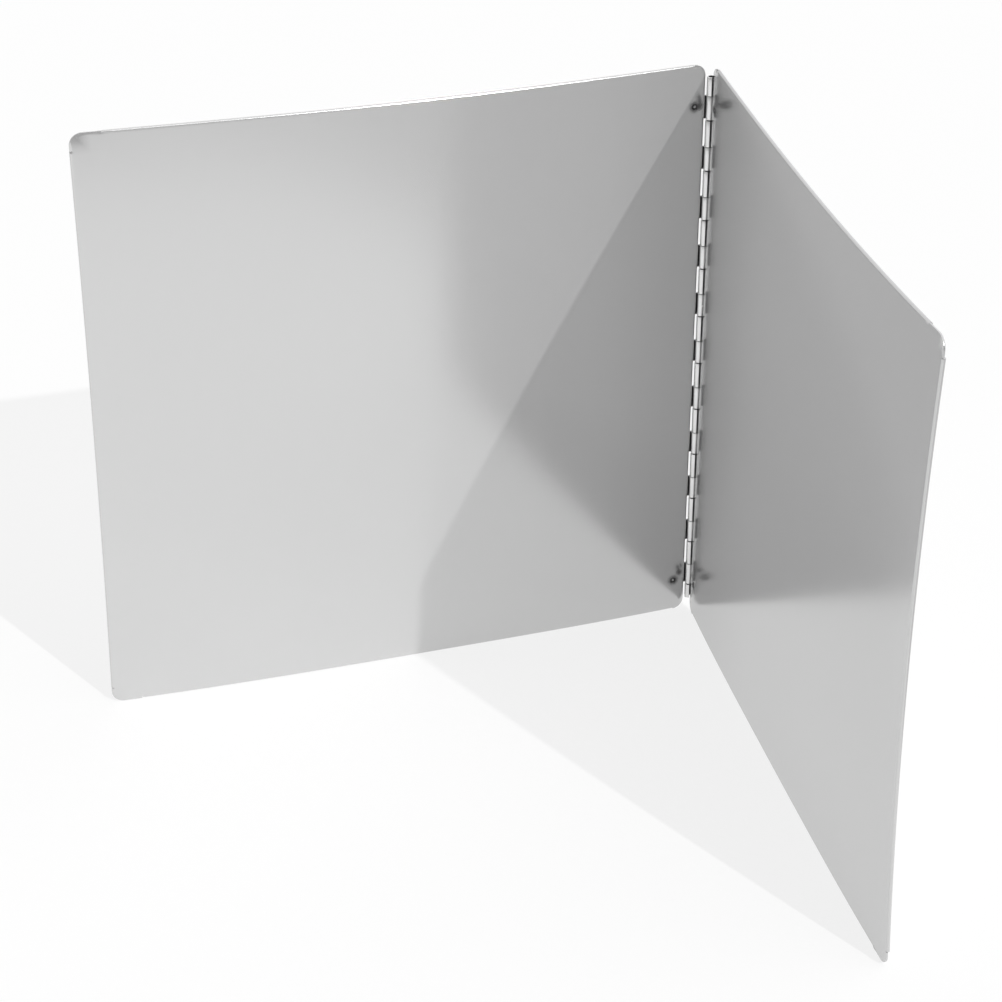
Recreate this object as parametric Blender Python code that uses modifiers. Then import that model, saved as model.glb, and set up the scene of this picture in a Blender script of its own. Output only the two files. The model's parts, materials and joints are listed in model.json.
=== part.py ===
"""Folding splash guard: two hemmed stainless sheets joined by a continuous hinge.

Every piece is drawn in the frame of its own hinge leaf: the pin's axis is the Z axis, X runs along the
sheet away from the hinge (towards -X on the left side, which mirrors the right), and Y runs from the
front of the sheet to its back. An empty on the pin's axis then turns each side to its place.
"""
import bpy
import bmesh
from math import cos, pi, radians, sin
from mathutils import Matrix, Vector

# Driving dimensions, in metres
PANEL_WIDTH = 0.2977
PANEL_HEIGHT = 0.2957
SHEET = 0.0008
PANEL_EDGE = 0.0029
HINGE_CORNER = 0.0055
OUTER_CORNER = 0.0060

HEM_DEPTH = 0.0047
HEM_SLIT = 0.0002
TAB_RUN = 0.0145
TAB_RISE = 0.0080
RELIEF = 0.0006
RELIEF_DIP = 0.0004

LEAF_SHEET = 0.0008
LEAF_WIDTH = 0.0135
LEAF_CUTOUT = 0.0026
BARREL_RADIUS = 0.0020
CURL = 300.0
PIN_RADIUS = 0.00095
PIN_INSET = 0.0010
WELD_GAP = 0.0002

# Heights along the hinge, from its foot up: an end knuckle of the right leaf, then pairs of one left
# and one right knuckle, 25.4 mm a pair, the last of them with the shorter end knuckle
HINGE_FOOT = 0.0060
FOOT_KNUCKLE = 0.0077
LEFT_KNUCKLE = 0.0115
RIGHT_KNUCKLE = 0.0130
TOP_KNUCKLE = 0.0092
GAP_UNDER_LEFT = 0.0006
GAP_OVER_LEFT = 0.0003
LEFT_KNUCKLES = 11

# How far each sheet has sprung from the plane of its leaf: across its width, the difference between
# its top and bottom, how far the middle of its outer edge stays in front of that, and the long wave
# along its foot and along its top
LEFT_BOW = (0.0047, 0.0018, 0.0051, 0.0009, -0.0012)
RIGHT_BOW = (0.0029, 0.0012, 0.0036, 0.0006, 0.0)

# Direction of each leaf about the pin, in degrees from +X, and where the pin stands
LEFT_LEAN = 3.28
RIGHT_TURN = -97.68
PIN_X = 0.1496
PIN_Y = 0.1483

# Spot welds: distance from the pin and height of each one, on both sides
WELDS = ((0.0088, 0.0172), (0.0078, 0.2752))
WELD_RADIUS = 0.0018
WELD_DEPTH = 0.00012

# Fineness of the mesh, the angle in degrees past which an edge is shaded sharp, and how large an empty
# is drawn
GRID_COLUMNS = 15
GRID_ROWS = 15
BEND_STEPS = 7
CORNER_STEPS = 6
CURL_STEPS = 18
PIN_SIDES = 20
BALL_SEGMENTS = 96
SHARP_ANGLE = 40.0
EMPTY_SIZE = 0.03

# Values that follow from them
OUTER_EDGE = PANEL_EDGE + PANEL_WIDTH
LEAF_MIDDLE = BARREL_RADIUS - LEAF_SHEET / 2
PANEL_MIDDLE = BARREL_RADIUS - LEAF_SHEET - WELD_GAP - SHEET / 2
BEND_RADIUS = (SHEET + HEM_SLIT) / 2
BEND_OUTSIDE = BEND_RADIUS + SHEET / 2
WELD_BALL = (WELD_RADIUS ** 2 + WELD_DEPTH ** 2) / (2 * WELD_DEPTH)
TWIST_PEAK = 4 / 27
WAVE_SCALE = 16
NEAR = 1e-6


def clear_scene():
    """Start from an empty file."""
    for item in list(bpy.data.objects):
        bpy.data.objects.remove(item, do_unlink=True)


def new_collection(name):
    collection = bpy.data.collections.new(name)
    bpy.context.scene.collection.children.link(collection)
    return collection


def steel(name, shade, roughness):
    """Bare stainless steel as a Principled material."""
    material = bpy.data.materials.new(name)
    material.use_nodes = True
    shader = material.node_tree.nodes["Principled BSDF"]
    shader.inputs["Base Color"].default_value = (shade, shade, shade, 1.0)
    shader.inputs["Metallic"].default_value = 1.0
    shader.inputs["Roughness"].default_value = roughness
    return material


def mesh_object(name, bm, collection, material, parent):
    """Turn a bmesh into a smooth-shaded object on its side's empty."""
    mesh = bpy.data.meshes.new(name)
    bm.to_mesh(mesh)
    bm.free()
    mesh.materials.append(material)
    mesh.shade_smooth()
    mesh.set_sharp_from_angle(angle=radians(SHARP_ANGLE))
    item = bpy.data.objects.new(name, mesh)
    item.parent = parent
    collection.objects.link(item)
    return item


def thicken(item, thickness):
    """Give a bent surface its sheet thickness, half on each side."""
    solidify = item.modifiers.new("sheet", "SOLIDIFY")
    solidify.thickness = thickness
    solidify.offset = 0.0
    solidify.use_even_offset = True


def arc(x, z, radius, start, end):
    """Points on a rounded corner, from one angle to another in degrees."""
    angles = [radians(start + (end - start) * i / CORNER_STEPS) for i in range(CORNER_STEPS + 1)]
    return [(x + radius * cos(a), z + radius * sin(a)) for a in angles]


def flat_face(bm, outline):
    """One flat face from an outline of (x, z) points."""
    return bm.faces.new([bm.verts.new((x, 0.0, z)) for x, z in outline])


def edges_where(bm, test):
    """The edges whose two ends both pass a test."""
    return [edge for edge in bm.edges if all(test(vert.co) for vert in edge.verts)]


def panel_outline():
    """The blank with its hems not yet folded: corner tabs, relief slots, and the lines to fold on."""
    hem_start = PANEL_EDGE + HINGE_CORNER
    hem_end = OUTER_EDGE - TAB_RUN
    fold = BEND_OUTSIDE
    slot = fold + RELIEF_DIP
    lower = arc(hem_start, HINGE_CORNER, HINGE_CORNER, 180, 270)
    lower += [(hem_start, slot), (hem_start + RELIEF, slot), (hem_start + RELIEF, fold)]
    lower += [(hem_end - RELIEF, fold), (hem_end - RELIEF, slot), (hem_end, slot), (hem_end, 0.0)]
    lower += arc(OUTER_EDGE - OUTER_CORNER, OUTER_CORNER, OUTER_CORNER, 270, 360)
    lower += [(OUTER_EDGE, TAB_RISE), (OUTER_EDGE - slot, TAB_RISE)]
    lower += [(OUTER_EDGE - slot, TAB_RISE + RELIEF), (OUTER_EDGE - fold, TAB_RISE + RELIEF)]
    upper = [(x, PANEL_HEIGHT - z) for x, z in reversed(lower)]
    return lower + upper


def fold_hem(bm, edges, centre, axis, angle, inward):
    """Fold an edge over by half a turn, then run the return back along the sheet."""
    spun = bmesh.ops.spin(bm, geom=edges, cent=centre, axis=axis, angle=angle, steps=BEND_STEPS)
    bend_end = [part for part in spun["geom_last"] if isinstance(part, bmesh.types.BMEdge)]
    flap = bmesh.ops.extrude_edge_only(bm, edges=bend_end)
    flap_verts = [part for part in flap["geom"] if isinstance(part, bmesh.types.BMVert)]
    bmesh.ops.translate(bm, verts=flap_verts, vec=Vector(inward) * (HEM_DEPTH - BEND_OUTSIDE))


def sprung(x, z, bow):
    """How far a thin sheet has sprung back from the plane of its leaf, at one point.

    u runs from 0 at the hinge to 1 at the outer edge, v from 0 at the foot to 1 at the top. The twist's
    u * u * (1 - u) has its peak, 4/27, at two thirds of the width. The wave goes back, then forward, and
    leaves the hinge and the outer edge where they are.
    """
    across, twist, crown, foot_wave, top_wave = bow
    u = (x - PANEL_EDGE) / PANEL_WIDTH
    v = z / PANEL_HEIGHT
    lengthwise = 4 * across * u * u
    twisted = twist * (2 * v - 1) * u * u * (1 - u) / TWIST_PEAK
    crowned = crown * 4 * v * (1 - v) * u * u
    wave = foot_wave * (1 - v) + top_wave * v
    waved = WAVE_SCALE * wave * u * u * (1 - u) * (1 - 2 * u)
    return lengthwise - twisted - crowned + waved


def weld_cutter(name, side, weld, cutters, parent):
    """A shallow ball that leaves the electrode's mark in the front of a panel."""
    bpy.ops.mesh.primitive_uv_sphere_add(segments=BALL_SEGMENTS, ring_count=BALL_SEGMENTS,
                                         radius=WELD_BALL)
    cutter = bpy.context.active_object
    cutter.name = name
    front = PANEL_MIDDLE - SHEET / 2
    reach, height = weld
    cutter.location = (side * reach, front - WELD_BALL + WELD_DEPTH, height)
    cutter.parent = parent
    cutter.hide_render = True
    cutter.display_type = "WIRE"
    for holder in list(cutter.users_collection):
        holder.objects.unlink(cutter)
    cutters.objects.link(cutter)
    return cutter


def make_panel(name, side, bow, parts, cutters, material, parent):
    """One hemmed sheet; side is 1 for the right one and -1 for the left one."""
    bm = bmesh.new()
    flat_face(bm, panel_outline())
    for column in range(1, GRID_COLUMNS):
        place = (PANEL_EDGE + PANEL_WIDTH * column / GRID_COLUMNS, 0, 0)
        everything = bm.verts[:] + bm.edges[:] + bm.faces[:]
        bmesh.ops.bisect_plane(bm, geom=everything, plane_co=place, plane_no=(1, 0, 0))
    for row in range(1, GRID_ROWS):
        place = (0, 0, PANEL_HEIGHT * row / GRID_ROWS)
        everything = bm.verts[:] + bm.edges[:] + bm.faces[:]
        bmesh.ops.bisect_plane(bm, geom=everything, plane_co=place, plane_no=(0, 0, 1))

    low = BEND_OUTSIDE
    high = PANEL_HEIGHT - BEND_OUTSIDE
    outer = OUTER_EDGE - BEND_OUTSIDE
    bottom_edges = edges_where(bm, lambda co: abs(co.z - low) < NEAR)
    top_edges = edges_where(bm, lambda co: abs(co.z - high) < NEAR)
    outer_edges = edges_where(bm, lambda co: abs(co.x - outer) < NEAR)
    fold_hem(bm, bottom_edges, (0, BEND_RADIUS, low), (1, 0, 0), pi, (0, 0, 1))
    fold_hem(bm, top_edges, (0, BEND_RADIUS, high), (1, 0, 0), -pi, (0, 0, -1))
    fold_hem(bm, outer_edges, (outer, BEND_RADIUS, 0), (0, 0, 1), pi, (-1, 0, 0))

    for vert in bm.verts:
        vert.co.y += PANEL_MIDDLE + sprung(vert.co.x, vert.co.z, bow)
        vert.co.x *= side
    bmesh.ops.recalc_face_normals(bm, faces=bm.faces[:])
    panel = mesh_object(name, bm, parts, material, parent)
    thicken(panel, SHEET)
    for number, weld in enumerate(WELDS, start=1):
        cutter = weld_cutter(f"{name}_weld_{number}", side, weld, cutters, parent)
        cut = panel.modifiers.new(f"weld_{number}", "BOOLEAN")
        cut.operation = "DIFFERENCE"
        cut.solver = "EXACT"
        cut.object = cutter
    return panel


def knuckle_spans():
    """Bottom and top of every knuckle, from the foot of the hinge up: the left leaf's, the right leaf's."""
    left = []
    right = [(HINGE_FOOT, HINGE_FOOT + FOOT_KNUCKLE)]
    for number in range(1, LEFT_KNUCKLES + 1):
        bottom = right[-1][1] + GAP_UNDER_LEFT
        left.append((bottom, bottom + LEFT_KNUCKLE))
        bottom += LEFT_KNUCKLE + GAP_OVER_LEFT
        height = TOP_KNUCKLE if number == LEFT_KNUCKLES else RIGHT_KNUCKLE
        right.append((bottom, bottom + height))
    return left, right


LEFT_SPANS, RIGHT_SPANS = knuckle_spans()
HINGE_TOP = RIGHT_SPANS[-1][1]


def leaf_outline(spans):
    """A flat leaf whose strips reach the pin's axis, one for each knuckle."""
    outline = [(LEAF_WIDTH, HINGE_TOP), (LEAF_WIDTH, HINGE_FOOT)]
    if spans[0][0] > HINGE_FOOT:
        outline.append((LEAF_CUTOUT, HINGE_FOOT))
    for bottom, top in spans:
        if bottom > HINGE_FOOT:
            outline.append((LEAF_CUTOUT, bottom))
        outline += [(0.0, bottom), (0.0, top)]
        if top < HINGE_TOP:
            outline.append((LEAF_CUTOUT, top))
    if spans[-1][1] < HINGE_TOP:
        outline.append((LEAF_CUTOUT, HINGE_TOP))
    return outline


def make_leaf(name, side, spans, parts, material, parent):
    """A hinge leaf with each strip curled right round the pin."""
    bm = bmesh.new()
    flat_face(bm, leaf_outline(spans))
    bmesh.ops.translate(bm, verts=bm.verts[:], vec=(0, LEAF_MIDDLE, 0))
    strip_ends = edges_where(bm, lambda co: abs(co.x) < NEAR)
    bmesh.ops.spin(bm, geom=strip_ends, cent=(0, 0, 0), axis=(0, 0, 1), angle=radians(CURL),
                   steps=CURL_STEPS)
    bmesh.ops.transform(bm, matrix=Matrix.Scale(side, 4, (1, 0, 0)), verts=bm.verts[:])
    bmesh.ops.recalc_face_normals(bm, faces=bm.faces[:])
    leaf = mesh_object(name, bm, parts, material, parent)
    thicken(leaf, LEAF_SHEET)
    return leaf


def make_pin(parts, material, parent):
    """The round pin that all the knuckles turn on."""
    length = HINGE_TOP - HINGE_FOOT - 2 * PIN_INSET
    middle = Matrix.Translation((0, 0, (HINGE_FOOT + HINGE_TOP) / 2))
    bm = bmesh.new()
    bmesh.ops.create_cone(bm, cap_ends=True, segments=PIN_SIDES, radius1=PIN_RADIUS, radius2=PIN_RADIUS,
                          depth=length, matrix=middle)
    return mesh_object("hinge_pin", bm, parts, material, parent)


def hinge_side(name, turn, parts):
    """An empty on the pin's axis that carries one side of the guard."""
    empty = bpy.data.objects.new(name, None)
    empty.empty_display_size = EMPTY_SIZE
    empty.location = (PIN_X, PIN_Y, 0)
    empty.rotation_euler = (0, 0, radians(turn))
    parts.objects.link(empty)
    return empty


def build():
    clear_scene()
    parts = new_collection("folding_splash_guard")
    cutters = new_collection("cutters")
    panel_steel = steel("panel_steel", 0.66, 0.22)
    hinge_steel = steel("hinge_steel", 0.62, 0.28)
    pin_steel = steel("pin_steel", 0.55, 0.35)

    left = hinge_side("left_side", LEFT_LEAN, parts)
    right = hinge_side("right_side", RIGHT_TURN, parts)
    make_panel("left_panel", -1, LEFT_BOW, parts, cutters, panel_steel, left)
    make_panel("right_panel", 1, RIGHT_BOW, parts, cutters, panel_steel, right)
    make_leaf("left_hinge_leaf", -1, LEFT_SPANS, parts, hinge_steel, left)
    make_leaf("right_hinge_leaf", 1, RIGHT_SPANS, parts, hinge_steel, right)
    make_pin(parts, pin_steel, right)


build()
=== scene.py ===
# %% [markdown]
# # Folding splash guard
#
# The guard is two thin stainless sheets on one continuous hinge, stood open in a V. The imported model
# gives every piece its true place and size, and its pin is the axis on which the right side turns.
# So the scene starts from that model as a fixed frame, and only adds what the eye sees: finer sheet,
# rounder bends, softened edges, and steel that behaves like steel.

# %% Load the frame
import json
from math import cos, pi, radians, sin

import bpy
import bmesh
from mathutils import Matrix, Vector


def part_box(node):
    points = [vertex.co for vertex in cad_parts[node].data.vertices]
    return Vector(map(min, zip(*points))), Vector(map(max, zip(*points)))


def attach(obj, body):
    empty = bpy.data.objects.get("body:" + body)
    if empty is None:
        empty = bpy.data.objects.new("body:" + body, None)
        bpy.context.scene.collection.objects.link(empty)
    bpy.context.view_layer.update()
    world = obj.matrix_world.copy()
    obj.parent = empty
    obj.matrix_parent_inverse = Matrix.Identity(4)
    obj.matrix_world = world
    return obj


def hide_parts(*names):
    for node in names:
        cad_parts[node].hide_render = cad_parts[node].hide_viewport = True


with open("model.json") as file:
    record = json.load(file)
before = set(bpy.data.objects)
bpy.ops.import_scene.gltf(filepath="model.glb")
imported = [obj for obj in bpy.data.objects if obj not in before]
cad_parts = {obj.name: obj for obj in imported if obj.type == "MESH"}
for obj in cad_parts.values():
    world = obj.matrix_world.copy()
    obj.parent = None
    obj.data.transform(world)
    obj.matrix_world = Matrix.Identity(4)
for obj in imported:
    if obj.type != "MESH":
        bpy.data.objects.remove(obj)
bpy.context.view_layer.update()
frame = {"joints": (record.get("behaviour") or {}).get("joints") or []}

LEFT_BODY = "left_side"
RIGHT_BODY = "right_side"
fold = frame["joints"][0]
PIN = Vector(fold["pos_m"])
foot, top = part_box("right_hinge_leaf")
HINGE_FOOT = round(foot.z, 4)
HINGE_TOP = round(top.z, 4)
PANEL_HEIGHT = round(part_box("left_panel")[1].z, 4)
print("pin at", [round(value, 4) for value in PIN], "hinge", round(HINGE_TOP - HINGE_FOOT, 4), "m long")

# %% [markdown]
# ## The camera
#
# The guard is seen from the front, a little to its left and from above, by a long lens. The easy way
# is to aim the camera at the object's middle, but here the edges of the sheets tell exactly where the
# lens stood, so the place is written down, and the direction is given as two angles and a small roll.
# The view is built from three axes: right, up and back.

# %% Camera
FRAME_PIXELS = 1002
FOCAL_PIXELS = 2687.65
SENSOR = 0.036
CAMERA_PLACE = Vector((-0.31692, -0.95190, 0.72910))
AZIMUTH = radians(-18.318)
ELEVATION = radians(29.266)
ROLL = radians(0.298)


def make_camera():
    """A camera at the place and in the direction given above."""
    back = Vector((sin(AZIMUTH) * cos(ELEVATION), -cos(AZIMUTH) * cos(ELEVATION), sin(ELEVATION)))
    level = Vector((cos(AZIMUTH), sin(AZIMUTH), 0.0))
    lift = back.cross(level)
    right = cos(ROLL) * level + sin(ROLL) * lift
    up = back.cross(right)
    data = bpy.data.cameras.new("camera")
    data.sensor_width = SENSOR * 1000
    data.lens = SENSOR * 1000 * FOCAL_PIXELS / FRAME_PIXELS
    camera = bpy.data.objects.new("camera", data)
    turn = Matrix((right, up, back)).transposed().to_4x4()
    camera.matrix_world = Matrix.Translation(CAMERA_PLACE) @ turn
    bpy.context.scene.collection.objects.link(camera)
    bpy.context.scene.camera = camera
    return camera


camera = make_camera()
print("lens", round(camera.data.lens, 2), "mm")

# %% [markdown]
# ## Shader maths as Python
#
# A node material for a plain metal is mostly arithmetic: a mask here, a little more roughness there.
# Wiring that by hand hides what it means. One small class wraps a socket, so that an expression such
# as `1 - mask` adds the Math node for it. Every other kind of node comes from one method, which sets
# the node's own settings first and then its sockets.

# %% A socket that works in expressions
class Value:
    """A socket of one node tree; arithmetic on it adds Math nodes."""

    def __init__(self, tree, socket=None):
        self.tree = tree
        self.socket = socket

    def put(self, target, value):
        """Give an input a number, a colour, or a link."""
        if isinstance(value, Value):
            self.tree.links.new(value.socket, target)
        else:
            target.default_value = value

    def node(self, kind, settings, inputs, output=0):
        """Any node, from its type, its settings, and what its sockets hold."""
        made = self.tree.nodes.new(kind)
        for name, setting in settings.items():
            setattr(made, name, setting)
        for name, value in inputs.items():
            self.put(made.inputs[name], value)
        return Value(self.tree, made.outputs[output])

    def maths(self, operation, first, second):
        return self.node("ShaderNodeMath", {"operation": operation}, {0: first, 1: second})

    def __add__(self, other):
        return self.maths("ADD", self, other)

    __radd__ = __add__

    def __sub__(self, other):
        return self.maths("SUBTRACT", self, other)

    def __rsub__(self, other):
        return self.maths("SUBTRACT", other, self)

    def __mul__(self, other):
        return self.maths("MULTIPLY", self, other)

    def __pow__(self, other):
        return self.maths("POWER", self, other)

    def smooth(self, low, high):
        """0 below low, 1 above high, and an even curve between."""
        return self.node("ShaderNodeMapRange", {"interpolation_type": "SMOOTHSTEP"},
                         {"Value": self, "From Min": low, "From Max": high})


print("shader maths ready")

# %% [markdown]
# ## Finish: bright annealed sheet
#
# Stainless sheet of this kind is rolled bright. It mirrors what stands close to it, and blurs what is
# further off. It is not a perfect mirror: part of the light spreads in every direction from the fine
# grain of the rolled surface, which is why one sheet throws a shadow on the other. A Principled shader
# that is a little less than fully metallic gives both. Over it lie three faint things: streaks along
# the rolling direction, wide cloudy patches left by cleaning, and a few specks. A Mapping node turns
# the object's coordinates into the sheet's own, with the pin as the Z axis and X along the sheet, so
# that all of them stay with the metal when the hinge turns.

# %% Steel in general
STEEL_METAL = 0.80
CLOUD_SIZE = 0.06
SPECK_SIZE = 0.0012
SPECK_FROM = 0.72
SPECK_TO = 0.80
GRAIN_TONE = 0.03
CLOUD_TONE = 0.02
SPECK_TONE = 0.05
GRAIN_ROUGHNESS = 0.04
CLOUD_ROUGHNESS = 0.06
SPECK_ROUGHNESS = 0.08
LEFT_LEAN = radians(3.28)
RIGHT_TURN = radians(-97.68)


def new_material(name):
    """An empty node material, with the wrapped tree and its Principled shader."""
    material = bpy.data.materials.new(name)
    material.use_nodes = True
    tree = Value(material.node_tree)
    return material, tree, material.node_tree.nodes["Principled BSDF"]


def noise_at(tree, place, size, detail):
    """Noise between 0 and 1, with features of one size, or of one size along each axis."""
    if not isinstance(size, tuple):
        size = (size, size, size)
    scaled = tree.node("ShaderNodeVectorMath", {"operation": "MULTIPLY"},
                       {0: place, 1: tuple(1 / length for length in size)})
    return tree.node("ShaderNodeTexNoise", {"noise_dimensions": "3D"},
                     {"Vector": scaled, "Scale": 1.0, "Detail": detail})


def rolled_steel(tree, shader, shade, roughness, streaks, turn):
    """The look shared by all the steel; gives back its place, grain, tone and roughness."""
    rest = tree.node("ShaderNodeTexCoord", {}, {}, output="Object")
    place = tree.node("ShaderNodeMapping", {"vector_type": "TEXTURE"},
                      {"Vector": rest, "Location": (PIN.x, PIN.y, 0.0), "Rotation": (0.0, 0.0, turn)})
    grain = noise_at(tree, place, streaks, 3.0)
    cloud = noise_at(tree, place, CLOUD_SIZE, 2.0)
    speck = noise_at(tree, place, SPECK_SIZE, 1.0).smooth(SPECK_FROM, SPECK_TO)
    tone = shade + (grain - 0.5) * GRAIN_TONE + (cloud - 0.5) * CLOUD_TONE - speck * SPECK_TONE
    rough = roughness + (grain - 0.5) * GRAIN_ROUGHNESS + (cloud - 0.5) * CLOUD_ROUGHNESS
    rough = rough + speck * SPECK_ROUGHNESS
    shader.inputs["Metallic"].default_value = STEEL_METAL
    return place, grain, tone, rough


def colour_of(tree, tone):
    """A neutral colour from one value."""
    return tree.node("ShaderNodeCombineColor", {}, {"Red": tone, "Green": tone, "Blue": tone})


def finish_steel(tree, shader, tone, rough, height, depth):
    """Plug tone, roughness and a fine bump into the shader."""
    tree.put(shader.inputs["Base Color"], colour_of(tree, tone))
    tree.put(shader.inputs["Roughness"], rough)
    bump = tree.node("ShaderNodeBump", {}, {"Distance": depth, "Height": height})
    tree.put(shader.inputs["Normal"], bump)


print("steel helpers ready")

# %% [markdown]
# ## Finish: the sheets and their weld marks
#
# Each sheet is spot welded to its hinge leaf. The electrodes leave a small ring pressed into the front,
# and the heat leaves a dark oxide round it. The ring is real geometry, made further down. The oxide is
# only colour, so it belongs here: it is darkest at the rim of the ring and fades over a few millimetres.
# Distances are taken in the sheet's own coordinates, where the pin is the Z axis. The button in the
# ring's middle stays bright, because the electrode rubs it clean. Beside each ring is a small smudge
# where the tip slipped. The right sheet's tone is set a little lower as painted shade, and both sheets
# get painted shade that darkens them towards the hinge, the right one most, for the corner they form.

# %% Sheet steel
# The right sheet's tone is lower than the left one's as painted shade.
LEFT_SHADE = 0.657
RIGHT_TONE_PAINTED_DARKER = 0.632
# The next three darken each sheet towards the hinge: painted shade for the corner between the sheets.
LEFT_PAINTED_HINGE_SHADE = 0.02
RIGHT_PAINTED_HINGE_SHADE = 0.15
PAINTED_HINGE_SHADE_REACH = 0.11
SHEET_ROUGHNESS = 0.18
SHEET_STREAKS = (0.0004, 0.0004, 0.05)
SHEET_BUMP = 0.000002
WELDS = ((0.0088, 0.0172), (0.0078, 0.2752))
OXIDE_REACH = 0.0048
OXIDE_RAG = 0.0012
OXIDE_ROUGHNESS = 0.12
RING_RADIUS = 0.00115
RING_WIDTH = 0.0005
BUTTON_FOOT = 0.0007
BUTTON_TOP = 0.0002
OXIDE_SHADE = 0.16
RING_SHADE = 0.03
SMUDGES = ((0.0056, 0.0212), (0.0053, 0.2750))
SMUDGE_RADIUS = 0.0004
SMUDGE_REACH = 0.0027
SMUDGE_DEPTH = 0.75
SMUDGE_SHADE = 0.10
SMUDGE_RAG = 0.0010
SMUDGE_RAGGED = 0.0003
SMUDGE_ROUGHNESS = 0.15


def weld_distance(tree, place, side, weld):
    """Distance from a weld's middle, in the plane of the sheet."""
    reach, height = weld
    middle = (side * reach, 0.0, height)
    offset = tree.node("ShaderNodeVectorMath", {"operation": "SUBTRACT"}, {0: place, 1: middle})
    flat = tree.node("ShaderNodeVectorMath", {"operation": "MULTIPLY"}, {0: offset, 1: (1.0, 0.0, 1.0)})
    return tree.node("ShaderNodeVectorMath", {"operation": "LENGTH"}, {0: flat}, output="Value")


def sheet_steel(name, side, shade, painted_hinge_shade, turn):
    """Rolled sheet, painted shade along the hinge, and what the welding left."""
    material, tree, shader = new_material(name)
    place, grain, tone, rough = rolled_steel(tree, shader, shade, SHEET_ROUGHNESS, SHEET_STREAKS, turn)
    reach = tree.node("ShaderNodeSeparateXYZ", {}, {"Vector": place}, "X") * side
    # Painted shade: the tone darkens towards the hinge, for the shade in the corner between the sheets.
    tone = tone * (reach.smooth(0.0, PAINTED_HINGE_SHADE_REACH) * painted_hinge_shade + (1 - painted_hinge_shade))
    for weld in WELDS:
        ragged = noise_at(tree, place, OXIDE_RAG, 2.0)
        away = weld_distance(tree, place, side, weld) + (ragged - 0.5) * OXIDE_RAG
        oxide = (1 - away.smooth(RING_RADIUS, OXIDE_REACH)) ** 2.0
        ring = (1 - away.smooth(RING_RADIUS, RING_RADIUS + RING_WIDTH)) * away.smooth(
            RING_RADIUS - RING_WIDTH, RING_RADIUS)
        tone = tone - oxide * (shade - OXIDE_SHADE) - ring * (OXIDE_SHADE - RING_SHADE)
        button = 1 - away.smooth(BUTTON_TOP, BUTTON_FOOT)
        tone = tone * (1 - button) + button * shade
        rough = rough + oxide * OXIDE_ROUGHNESS
    for smudge in SMUDGES:
        ragged = noise_at(tree, place, SMUDGE_RAG, 2.0)
        away = weld_distance(tree, place, side, smudge) + (ragged - 0.5) * SMUDGE_RAGGED
        burn = (1 - away.smooth(SMUDGE_RADIUS, SMUDGE_REACH)) * SMUDGE_DEPTH
        tone = tone * (1 - burn) + burn * SMUDGE_SHADE
        rough = rough + burn * SMUDGE_ROUGHNESS
    finish_steel(tree, shader, tone, rough, grain, SHEET_BUMP)
    return material


left_steel = sheet_steel("left_sheet_steel", -1, LEFT_SHADE, LEFT_PAINTED_HINGE_SHADE, LEFT_LEAN)
right_steel = sheet_steel("right_sheet_steel", 1, RIGHT_TONE_PAINTED_DARKER, RIGHT_PAINTED_HINGE_SHADE, RIGHT_TURN)
print("sheet materials", left_steel.name, right_steel.name)

# %% [markdown]
# ## Finish: hinge and pin
#
# Hinge stock is rolled, sheared and curled in a die. Its flat part looks like the sheet. The knuckles
# are painted brighter, a painted sheen for the light their round backs catch, with fine lines round
# them. The bores and the narrow slot between barrel and sheet lie in shade, painted in as black lines.
# All of these are told apart by their distance from the pin's axis, so each leaf has its own material,
# in its own coordinates. The pin is drawn wire, painted dark for the shade in the gaps between the
# knuckles, where it shows, and its lines run along it.

# %% Hinge and pin steel
# A painted sheen lifts the knuckles above the flat part; the dark tones of the bores, slot and pin are
# painted shade.
KNUCKLE_TONE_WITH_PAINTED_SHEEN = 0.86
FLAT_SHADE = 0.68
HINGE_ROUGHNESS = 0.22
HINGE_STREAKS = (0.004, 0.004, 0.0003)
PIN_PAINTED_SHADE = 0.10
PIN_ROUGHNESS = 0.33
PIN_STREAKS = (0.0002, 0.0002, 0.02)
HINGE_BUMP = 0.000003
PAINTED_GAP_SHADE = 0.05
GAP_SHADE_ROUGHNESS = 0.3
BORE_EDGE = 0.0013
BARREL_EDGE = 0.0020
FLAT_START = 0.0028
SLOT_FRONT = 0.00125
EDGE_FADE = 0.0001


def hinge_leaf_steel(name, turn):
    """Hinge stock with a painted sheen on the knuckles, and painted shade inside the bores and in the
    slot beside the barrel.
    """
    material, tree, shader = new_material(name)
    place, grain, tone, rough = rolled_steel(tree, shader, KNUCKLE_TONE_WITH_PAINTED_SHEEN, HINGE_ROUGHNESS,
                                             HINGE_STREAKS, turn)
    across = tree.node("ShaderNodeVectorMath", {"operation": "MULTIPLY"}, {0: place, 1: (1.0, 1.0, 0.0)})
    away = tree.node("ShaderNodeVectorMath", {"operation": "LENGTH"}, {0: across}, output="Value")
    depth = tree.node("ShaderNodeSeparateXYZ", {}, {"Vector": place}, output="Y")
    # Painted shade: black inside the bores and in the slot beside the barrel, where the shade falls.
    bore = 1 - away.smooth(BORE_EDGE, BORE_EDGE + EDGE_FADE)
    slot = away.smooth(BARREL_EDGE, BARREL_EDGE + EDGE_FADE) * (
        1 - depth.smooth(SLOT_FRONT, SLOT_FRONT + EDGE_FADE))
    gap_shade_mask = bore + slot
    # Painted sheen: the knuckles are lighter than the flat part of the leaf.
    flat = away.smooth(BARREL_EDGE, FLAT_START)
    tone = tone - flat * (KNUCKLE_TONE_WITH_PAINTED_SHEEN - FLAT_SHADE)
    tone = tone * (1 - gap_shade_mask) + gap_shade_mask * PAINTED_GAP_SHADE
    rough = rough + gap_shade_mask * GAP_SHADE_ROUGHNESS
    finish_steel(tree, shader, tone, rough, grain, HINGE_BUMP)
    return material


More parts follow.
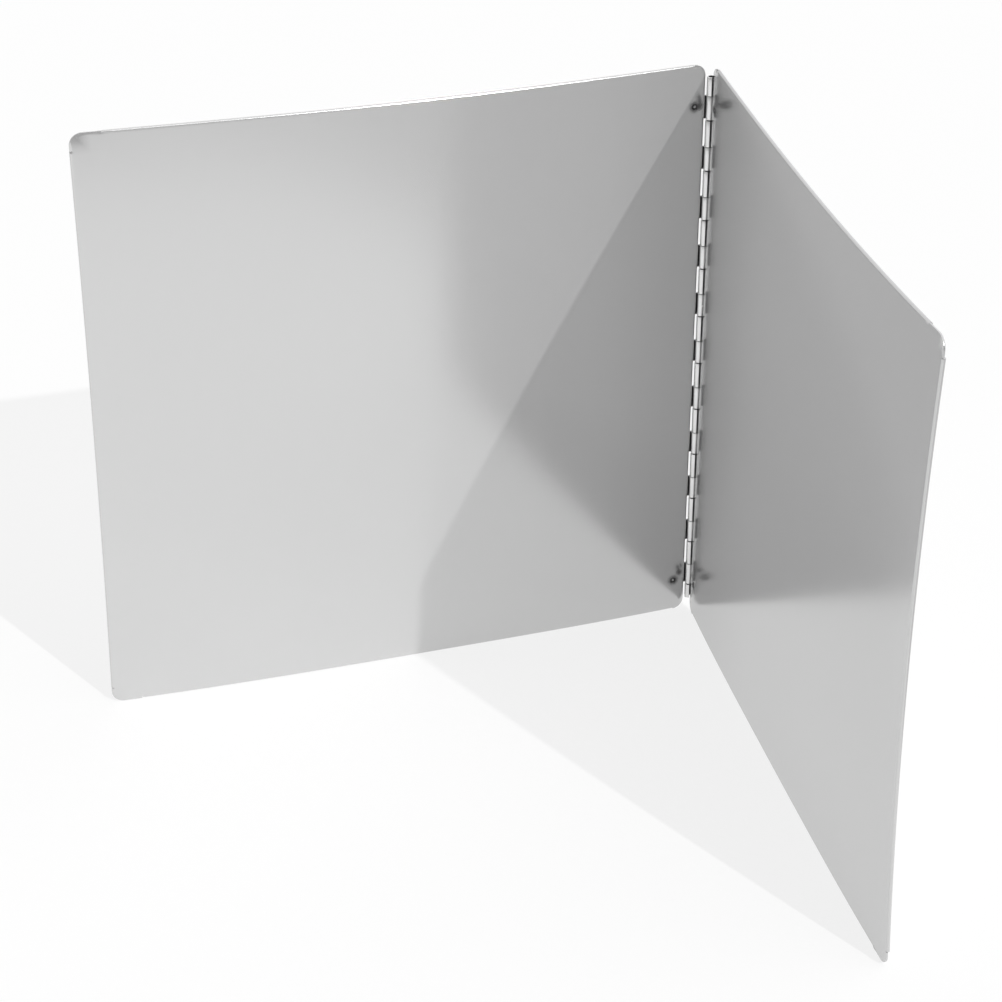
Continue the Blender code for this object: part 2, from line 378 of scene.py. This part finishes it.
def pin_wire_steel():
    """Drawn wire, with its lines along the pin."""
    material, tree, shader = new_material("pin_wire_steel")
    # The wire's dark tone is painted shade for the gaps between the knuckles, where the pin shows.
    place, grain, tone, rough = rolled_steel(tree, shader, PIN_PAINTED_SHADE, PIN_ROUGHNESS, PIN_STREAKS,
                                             RIGHT_TURN)
    finish_steel(tree, shader, tone, rough, grain, HINGE_BUMP)
    return material


left_hinge_steel = hinge_leaf_steel("left_leaf_steel", LEFT_LEAN)
right_hinge_steel = hinge_leaf_steel("right_leaf_steel", RIGHT_TURN)
pin_steel = pin_wire_steel()
print("hinge materials", left_hinge_steel.name, right_hinge_steel.name, pin_steel.name)

# %% [markdown]
# ## Sheet metal as a folded surface
#
# A hemmed sheet could be modelled as a box with rounded strips added, but the metal knows a simpler
# way: it starts as a flat blank with slots cut at the ends of the fold lines, and the edges are folded
# over. So the blank is one flat face, cut into a fine grid. Its edges are spun by half a turn round the
# fold lines, run back along the sheet, and the whole is then given its thickness. Relief slots, corner
# tabs and the round backs of the hems all come out as they do at the press. A thin sheet never lies
# quite flat: each has its own bow, given as five heights for its curl across, its twist, its crown, and
# its wave at the foot and at the top.

# %% Sizes of the sheets
PANEL_EDGE = 0.0029
PANEL_WIDTH = 0.2977
OUTER_EDGE = PANEL_EDGE + PANEL_WIDTH
SHEET = 0.0008
HINGE_CORNER = 0.0055
OUTER_CORNER = 0.0060
HEM_DEPTH = 0.0047
HEM_SLIT = 0.0002
TAB_RUN = 0.0145
TAB_RISE = 0.0080
RELIEF = 0.0003
RELIEF_DIP = 0.0004
BEND_RADIUS = (SHEET + HEM_SLIT) / 2
BEND_OUTSIDE = BEND_RADIUS + SHEET / 2
BARREL_RADIUS = 0.0020
LEAF_SHEET = 0.0008
WELD_GAP = 0.0002
PANEL_MIDDLE = BARREL_RADIUS - LEAF_SHEET - WELD_GAP - SHEET / 2
LEFT_BOW = (0.0047, 0.0018, 0.0051, 0.0009, -0.0012)
RIGHT_BOW = (0.0029, 0.0012, 0.0036, 0.0006, 0.0)
TWIST_PEAK = 4 / 27
WAVE_SCALE = 16
NEAR = 1e-6

GRID = 30
BEND_STEPS = 12
CORNER_STEPS = 14
SUPPORT = 0.0004


def arc(x, z, radius, start, end):
    """Points on a rounded corner, from one angle to another in degrees."""
    angles = [radians(start + (end - start) * i / CORNER_STEPS) for i in range(CORNER_STEPS + 1)]
    return [(x + radius * cos(a), z + radius * sin(a)) for a in angles]


def panel_outline():
    """The blank's outline, with tabs, relief slots and fold lines."""
    hem_start = PANEL_EDGE + HINGE_CORNER
    hem_end = OUTER_EDGE - TAB_RUN
    fold_line = BEND_OUTSIDE
    slot = fold_line + RELIEF_DIP
    lower = arc(hem_start, HINGE_CORNER, HINGE_CORNER, 180, 270)
    lower += [(hem_start, slot), (hem_start + RELIEF, slot), (hem_start + RELIEF, fold_line)]
    lower += [(hem_end - RELIEF, fold_line), (hem_end - RELIEF, slot), (hem_end, slot), (hem_end, 0.0)]
    lower += arc(OUTER_EDGE - OUTER_CORNER, OUTER_CORNER, OUTER_CORNER, 270, 360)
    lower += [(OUTER_EDGE, TAB_RISE), (OUTER_EDGE - slot, TAB_RISE)]
    lower += [(OUTER_EDGE - slot, TAB_RISE + RELIEF), (OUTER_EDGE - fold_line, TAB_RISE + RELIEF)]
    return lower + [(x, PANEL_HEIGHT - z) for x, z in reversed(lower)]


print("blank has", len(panel_outline()), "corners")

# %% Cutting and folding
def edges_where(bm, test):
    """The edges whose two ends both pass a test."""
    return [edge for edge in bm.edges if all(test(vert.co) for vert in edge.verts)]


def cut(bm, axis, place, faces=None):
    """Cut the blank along a line across x (axis 0) or z (axis 2), everywhere or in some faces only."""
    chosen = bm.faces[:] if faces is None else faces
    parts = {part for face in chosen for part in (face, *face.edges, *face.verts)}
    point = Vector((place if axis == 0 else 0.0, 0.0, place if axis == 2 else 0.0))
    normal = Vector((axis == 0, 0, axis == 2))
    bmesh.ops.bisect_plane(bm, geom=list(parts), plane_co=point, plane_no=normal)


def fold_hem(bm, edges, centre, axis, angle, inward):
    """Fold an edge over by half a turn, then run the return back along the sheet."""
    spun = bmesh.ops.spin(bm, geom=edges, cent=centre, axis=axis, angle=angle, steps=BEND_STEPS)
    bend_end = [part for part in spun["geom_last"] if isinstance(part, bmesh.types.BMEdge)]
    flap = bmesh.ops.extrude_edge_only(bm, edges=bend_end)
    flap_verts = [part for part in flap["geom"] if isinstance(part, bmesh.types.BMVert)]
    bmesh.ops.translate(bm, verts=flap_verts, vec=Vector(inward) * (HEM_DEPTH - BEND_OUTSIDE))


def sprung(x, z, bow):
    """How far the thin sheet has sprung back from the plane of its leaf, at one point."""
    across, twist, crown, foot_wave, top_wave = bow
    u = (x - PANEL_EDGE) / PANEL_WIDTH
    v = z / PANEL_HEIGHT
    lengthwise = 4 * across * u * u
    twisted = twist * (2 * v - 1) * u * u * (1 - u) / TWIST_PEAK
    crowned = crown * 4 * v * (1 - v) * u * u
    wave = foot_wave * (1 - v) + top_wave * v
    waved = WAVE_SCALE * wave * u * u * (1 - u) * (1 - 2 * u)
    return lengthwise - twisted - crowned + waved


print("a sheet springs back by", round(1000 * sprung(OUTER_EDGE, 0.0, LEFT_BOW), 1), "mm at its corner")

# %% [markdown]
# ## The weld ring
#
# The electrode presses a ring a tenth of a millimetre deep, with a small raised button in its middle.
# A bump map would show it from the front and lose it at the edge, so the sheet is cut finer round each
# weld and its front skin is pressed in by a formula of the distance from the middle.

# %% Weld ring
RING_OUTER = 0.0014
RING_FLOOR = 0.0011
RING_DEPTH = 0.00012
BUTTON_SHARE = 0.7
PATCH = 0.0017
PATCH_CUTS = 17


def ease(value, low, high):
    """0 below low, 1 above high, and an even curve between."""
    t = min(max((value - low) / (high - low), 0.0), 1.0)
    return t * t * (3 - 2 * t)


def ring_depth(distance):
    """How deep the front skin is pressed in, at a distance from the weld's middle."""
    rim = 1 - ease(distance, RING_FLOOR, RING_OUTER)
    button = 1 - ease(distance, BUTTON_TOP, BUTTON_FOOT)
    return RING_DEPTH * (rim - BUTTON_SHARE * button)


def in_patch(face, weld):
    """Whether a face lies in the square round a weld."""
    middle = face.calc_center_bounds()
    return abs(middle.x - weld[0]) < PATCH and abs(middle.z - weld[1]) < PATCH


def refine_for_welds(bm):
    """Cut the blank finer in a small square round each weld."""
    for weld in WELDS:
        reach, height = weld
        cut(bm, 0, reach - PATCH)
        cut(bm, 0, reach + PATCH)
        cut(bm, 2, height - PATCH)
        cut(bm, 2, height + PATCH)
        for axis, middle in ((0, reach), (2, height)):
            for i in range(1, PATCH_CUTS + 1):
                place = middle - PATCH + 2 * PATCH * i / (PATCH_CUTS + 1)
                cut(bm, axis, place, [face for face in bm.faces if in_patch(face, weld)])


print("ring depth at its floor", ring_depth(RING_FLOOR - 0.0001) * 1000, "mm")

# %% [markdown]
# ## From surface to solid metal
#
# The folded surface gets its thickness from Solidify, half on each side, and then the sheared edges
# get a small bevel, because a cut edge is never quite sharp and its rounding is what catches the light.
# Both modifiers are turned into plain mesh.

# %% Solid, softened and shaded
SHARP_ANGLE = radians(40)
EDGE_ANGLE = radians(50)
EDGE_SOFTENING = 0.00008


def solid_piece(name, bm, thickness, material):
    """Thicken a folded surface, soften its cut edges and shade it, still in its own frame."""
    surface = bpy.data.meshes.new(name)
    bm.to_mesh(surface)
    bm.free()
    maker = bpy.data.objects.new(name + "_maker", surface)
    bpy.context.scene.collection.objects.link(maker)
    if thickness:
        solidify = maker.modifiers.new("thickness", "SOLIDIFY")
        solidify.thickness = thickness
        solidify.offset = 0.0
        solidify.use_even_offset = True
    bevel = maker.modifiers.new("edges", "BEVEL")
    bevel.width = EDGE_SOFTENING
    bevel.segments = 2
    bevel.limit_method = "ANGLE"
    bevel.angle_limit = EDGE_ANGLE
    bevel.use_clamp_overlap = True
    solid = bpy.data.meshes.new_from_object(maker.evaluated_get(bpy.context.evaluated_depsgraph_get()))
    bpy.data.objects.remove(maker)
    bpy.data.meshes.remove(surface)
    solid.name = name
    solid.shade_smooth()
    solid.set_sharp_from_angle(angle=SHARP_ANGLE)
    solid.materials.clear()
    solid.materials.append(material)
    piece = bpy.data.objects.new(name, solid)
    bpy.context.scene.collection.objects.link(piece)
    return piece


def fit(piece, turn, node, body):
    """Turn a piece to its leaf, on the pin's axis, and let it stand for its CAD node."""
    piece.data.transform(Matrix.Translation((PIN.x, PIN.y, 0.0)) @ Matrix.Rotation(turn, 4, "Z"))
    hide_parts(node)
    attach(piece, body)
    print(piece.name, "has", len(piece.data.polygons), "faces")


def folded_sheet(side, bow):
    """The folded and bowed surface of one sheet, in its own frame."""
    bm = bmesh.new()
    bm.faces.new([bm.verts.new((x, 0.0, z)) for x, z in panel_outline()])
    for i in range(1, GRID):
        cut(bm, 0, PANEL_EDGE + PANEL_WIDTH * i / GRID)
        cut(bm, 2, PANEL_HEIGHT * i / GRID)
    refine_for_welds(bm)
    cut(bm, 2, BEND_OUTSIDE + RELIEF_DIP + SUPPORT)
    cut(bm, 2, PANEL_HEIGHT - BEND_OUTSIDE - RELIEF_DIP - SUPPORT)
    cut(bm, 0, OUTER_EDGE - BEND_OUTSIDE - RELIEF_DIP - SUPPORT)

    low = BEND_OUTSIDE
    high = PANEL_HEIGHT - BEND_OUTSIDE
    outer = OUTER_EDGE - BEND_OUTSIDE
    bottom_edges = edges_where(bm, lambda co: abs(co.z - low) < NEAR)
    top_edges = edges_where(bm, lambda co: abs(co.z - high) < NEAR)
    outer_edges = edges_where(bm, lambda co: abs(co.x - outer) < NEAR)
    fold_hem(bm, bottom_edges, (0, BEND_RADIUS, low), (1, 0, 0), pi, (0, 0, 1))
    fold_hem(bm, top_edges, (0, BEND_RADIUS, high), (1, 0, 0), -pi, (0, 0, -1))
    fold_hem(bm, outer_edges, (outer, BEND_RADIUS, 0), (0, 0, 1), pi, (-1, 0, 0))
    for vert in bm.verts:
        vert.co.y += PANEL_MIDDLE + sprung(vert.co.x, vert.co.z, bow)
        vert.co.x *= side
    bmesh.ops.recalc_face_normals(bm, faces=bm.faces[:])
    return bm


def make_sheet(name, side, bow, material):
    """One hemmed sheet; side is 1 for the right one and -1 for the left one."""
    piece = solid_piece(name, folded_sheet(side, bow), SHEET, material)
    for vert in piece.data.vertices:
        for reach, height in WELDS:
            distance = ((vert.co.x - side * reach) ** 2 + (vert.co.z - height) ** 2) ** 0.5
            if distance < PATCH and vert.co.y < PANEL_MIDDLE:
                vert.co.y += ring_depth(distance)
    return piece


left_sheet = make_sheet("left_sheet", -1, LEFT_BOW, left_steel)
right_sheet = make_sheet("right_sheet", 1, RIGHT_BOW, right_steel)
fit(left_sheet, LEFT_LEAN, "left_panel", LEFT_BODY)
fit(right_sheet, RIGHT_TURN, "right_panel", RIGHT_BODY)

# %% [markdown]
# ## The hinge leaves
#
# A leaf of a continuous hinge is one strip of metal with every second stretch of its edge cut away. The
# stretches that are left are curled right round the pin and become knuckles. Cylinders stuck on a bar
# would lose the seam where the curl comes back to the strip, and the slots beside the knuckles that let
# the light through. So the leaf is made as the sheet was: a flat outline, its strip ends spun round the
# pin's axis, and thickness.

# %% Hinge leaves
LEAF_WIDTH = 0.0135
LEAF_CUTOUT = 0.0026
LEAF_MIDDLE = BARREL_RADIUS - LEAF_SHEET / 2
LEFT_CURL = radians(300)
RIGHT_CURL = radians(272)
CURL_STEPS = 40
FOOT_KNUCKLE = 0.0077
LEFT_KNUCKLE = 0.0115
RIGHT_KNUCKLE = 0.0130
GAP_UNDER_LEFT = 0.0006
GAP_OVER_LEFT = 0.0003
LEFT_KNUCKLES = 11


def knuckle_spans():
    """Bottom and top of every knuckle from the foot up: first the left leaf's, then the right leaf's."""
    left = []
    right = [(HINGE_FOOT, HINGE_FOOT + FOOT_KNUCKLE)]
    for number in range(1, LEFT_KNUCKLES + 1):
        bottom = right[-1][1] + GAP_UNDER_LEFT
        left.append((bottom, bottom + LEFT_KNUCKLE))
        bottom += LEFT_KNUCKLE + GAP_OVER_LEFT
        right.append((bottom, HINGE_TOP if number == LEFT_KNUCKLES else bottom + RIGHT_KNUCKLE))
    return left, right


def leaf_outline(spans):
    """A flat leaf whose strips reach the pin's axis, one for each knuckle."""
    outline = [(LEAF_WIDTH, HINGE_TOP), (LEAF_WIDTH, HINGE_FOOT)]
    if spans[0][0] > HINGE_FOOT:
        outline.append((LEAF_CUTOUT, HINGE_FOOT))
    for bottom, top_end in spans:
        if bottom > HINGE_FOOT:
            outline.append((LEAF_CUTOUT, bottom))
        outline += [(0.0, bottom), (0.0, top_end)]
        if top_end < HINGE_TOP:
            outline.append((LEAF_CUTOUT, top_end))
    if spans[-1][1] < HINGE_TOP:
        outline.append((LEAF_CUTOUT, HINGE_TOP))
    return outline


def make_leaf(name, side, spans, curl, material):
    """A hinge leaf with each strip curled right round the pin."""
    bm = bmesh.new()
    bm.faces.new([bm.verts.new((x, LEAF_MIDDLE, z)) for x, z in leaf_outline(spans)])
    cut(bm, 0, LEAF_CUTOUT + SUPPORT)
    cut(bm, 0, SUPPORT)
    strip_ends = edges_where(bm, lambda co: abs(co.x) < NEAR)
    bmesh.ops.spin(bm, geom=strip_ends, cent=(0, 0, 0), axis=(0, 0, 1), angle=curl, steps=CURL_STEPS)
    bmesh.ops.transform(bm, matrix=Matrix.Scale(side, 4, (1, 0, 0)), verts=bm.verts[:])
    bmesh.ops.recalc_face_normals(bm, faces=bm.faces[:])
    return solid_piece(name, bm, LEAF_SHEET, material)


left_spans, right_spans = knuckle_spans()
left_leaf = make_leaf("left_leaf", -1, left_spans, LEFT_CURL, left_hinge_steel)
right_leaf = make_leaf("right_leaf", 1, right_spans, RIGHT_CURL, right_hinge_steel)
fit(left_leaf, LEFT_LEAN, "left_hinge_leaf", LEFT_BODY)
fit(right_leaf, RIGHT_TURN, "right_hinge_leaf", RIGHT_BODY)

# %% [markdown]
# ## The pin
#
# The pin is one length of wire, cut a little short of the hinge and rounded at its ends. A turned
# profile is the direct way: half of its outline, screwed round the axis.

# %% Hinge pin
PIN_RADIUS = 0.00095
PIN_INSET = 0.0010
PIN_SIDES = 32
PIN_ROUND = 0.0003


def make_pin():
    """A turned pin with rounded ends."""
    low = HINGE_FOOT + PIN_INSET
    high = HINGE_TOP - PIN_INSET
    steps = [radians(90 * i / 4) for i in range(5)]
    inner = PIN_RADIUS - PIN_ROUND
    profile = [(inner + PIN_ROUND * sin(a), high - PIN_ROUND + PIN_ROUND * cos(a)) for a in steps]
    profile += [(x, low + high - z) for x, z in reversed(profile)]
    bm = bmesh.new()
    verts = [bm.verts.new((x, 0.0, z)) for x, z in profile]
    for first, second in zip(verts, verts[1:]):
        bm.edges.new((first, second))
    bmesh.ops.spin(bm, geom=bm.verts[:] + bm.edges[:], cent=(0, 0, 0), axis=(0, 0, 1), angle=2 * pi,
                   steps=PIN_SIDES)
    bmesh.ops.remove_doubles(bm, verts=bm.verts[:], dist=NEAR)
    bmesh.ops.holes_fill(bm, edges=[edge for edge in bm.edges if edge.is_boundary], sides=0)
    bmesh.ops.recalc_face_normals(bm, faces=bm.faces[:])
    return solid_piece("pin", bm, 0.0, pin_steel)


fit(make_pin(), RIGHT_TURN, "hinge_pin", RIGHT_BODY)

# %% [markdown]
# ## The studio
#
# Polished steel shows the room more than it shows itself, so the room matters more than any lamp. Here
# it is a plain white one. The floor and the world are seen as white by the camera, and by the rays that
# the steel mirrors, yet light the metal only at a plain level. In the mirror the floor dims towards the
# front right and the front wall dims low down, which draws the thin dark lines along the folded edges.
# The key lamp is small and stands in front, high on the right: it throws the right sheet's crisp shadow
# across the left one. A wide one over the right sheet softens the rest, and is not mirrored itself.

# %% Floor and world
FLOOR_SHADE = 0.90
FLOOR_SIZE = 6.0
FLOOR_DROP = 0.0001
ROOM_LIGHT = 0.20
FLOOR_GLOW = 0.82
MIRROR_GLOW = 0.85
DIMMER_WAY = (0.90, -0.43, 0.0)
DIMMER_NEAR = 0.26
DIMMER_FAR = 0.40
FAR_SHADE = 0.67
WALL_SHADE = 0.38
BRIGHT_WAY = (0.0, 0.5, 1.0)
WALL_LOW = 0.10
WALL_HIGH = 0.50


def ray_kind(tree, kind):
    """1 for one kind of ray and 0 for the others."""
    return tree.node("ShaderNodeLightPath", {}, {}, f"Is {kind} Ray")


def make_floor():
    """A pale floor that keeps a soft shadow and still reads as white."""
    bpy.ops.mesh.primitive_plane_add(size=FLOOR_SIZE, location=(0, 0, -FLOOR_DROP))
    floor = bpy.context.active_object
    floor.name = "floor"
    material, tree, shader = new_material("floor_paper")
    shader.inputs["Base Color"].default_value = (FLOOR_SHADE, FLOOR_SHADE, FLOOR_SHADE, 1.0)
    shader.inputs["Roughness"].default_value = 1.0
    lit = Value(tree.tree, shader.outputs[0])
    rest = tree.node("ShaderNodeTexCoord", {}, {}, output="Object")
    away = tree.node("ShaderNodeVectorMath", {"operation": "DOT_PRODUCT"}, {0: rest, 1: DIMMER_WAY},
                     output="Value")
    mirrored = ray_kind(tree, "Glossy")
    # Painted light: for mirrored rays the floor's glow falls off towards the front right, like the edge
    # of a pool of light.
    shade = 1 - mirrored * away.smooth(DIMMER_NEAR, DIMMER_FAR) * (1 - FAR_SHADE)
    glow = tree.node("ShaderNodeEmission", {}, {"Color": colour_of(tree, shade), "Strength": 1.0})
    direct = ray_kind(tree, "Camera") + ray_kind(tree, "Transmission")
    share = direct * FLOOR_GLOW + mirrored * MIRROR_GLOW
    mixed = tree.node("ShaderNodeMixShader", {}, {0: share, 1: lit, 2: glow})
    tree.put(tree.tree.nodes["Material Output"].inputs["Surface"], mixed)
    floor.data.materials.append(material)
    return floor


def make_world():
    """White where it is seen, dimmer where it only lights."""
    world = bpy.data.worlds.new("room")
    world.use_nodes = True
    tree = Value(world.node_tree)
    towards = tree.node("ShaderNodeTexCoord", {}, {}, "Generated")
    height = tree.node("ShaderNodeVectorMath", {"operation": "DOT_PRODUCT"}, {0: towards, 1: BRIGHT_WAY},
                       "Value")
    wall = WALL_SHADE + height.smooth(WALL_LOW, WALL_HIGH) * (1.0 - WALL_SHADE)
    direct = ray_kind(tree, "Camera") + ray_kind(tree, "Transmission")
    mirrored = ray_kind(tree, "Glossy")
    strength = direct + mirrored * wall + (1 - direct - mirrored) * ROOM_LIGHT
    background = world.node_tree.nodes["Background"]
    background.inputs["Color"].default_value = (1.0, 1.0, 1.0, 1.0)
    tree.put(background.inputs["Strength"], strength)
    bpy.context.scene.world = world


make_floor()
make_world()
print("white room, light level", ROOM_LIGHT)

# %% Lamps
KEY_DIRECTION = Vector((0.287, -0.728, 0.623))
KEY_STRENGTH = 2.5
KEY_ANGLE = radians(0.7)
SIDE_DIRECTION = Vector((0.45, -0.10, 0.85))
SIDE_STRENGTH = 1.2
SIDE_ANGLE = radians(60.0)


def aimed(direction):
    """The turn that makes a lamp shine from a direction towards the object."""
    return direction.to_track_quat("Z", "Y")


def make_lamp(name, direction, strength, angle):
    """A lamp that is far away; the wider its angle, the softer its shadows."""
    data = bpy.data.lights.new(name, "SUN")
    data.energy = strength
    data.angle = angle
    lamp = bpy.data.objects.new(name, data)
    lamp.rotation_mode = "QUATERNION"
    lamp.rotation_quaternion = aimed(direction)
    bpy.context.scene.collection.objects.link(lamp)
    return lamp


make_lamp("key", KEY_DIRECTION, KEY_STRENGTH, KEY_ANGLE)
side_lamp = make_lamp("side", SIDE_DIRECTION, SIDE_STRENGTH, SIDE_ANGLE)
side_lamp.visible_glossy = False
bpy.context.scene.view_settings.view_transform = "Standard"
print("lamps set")
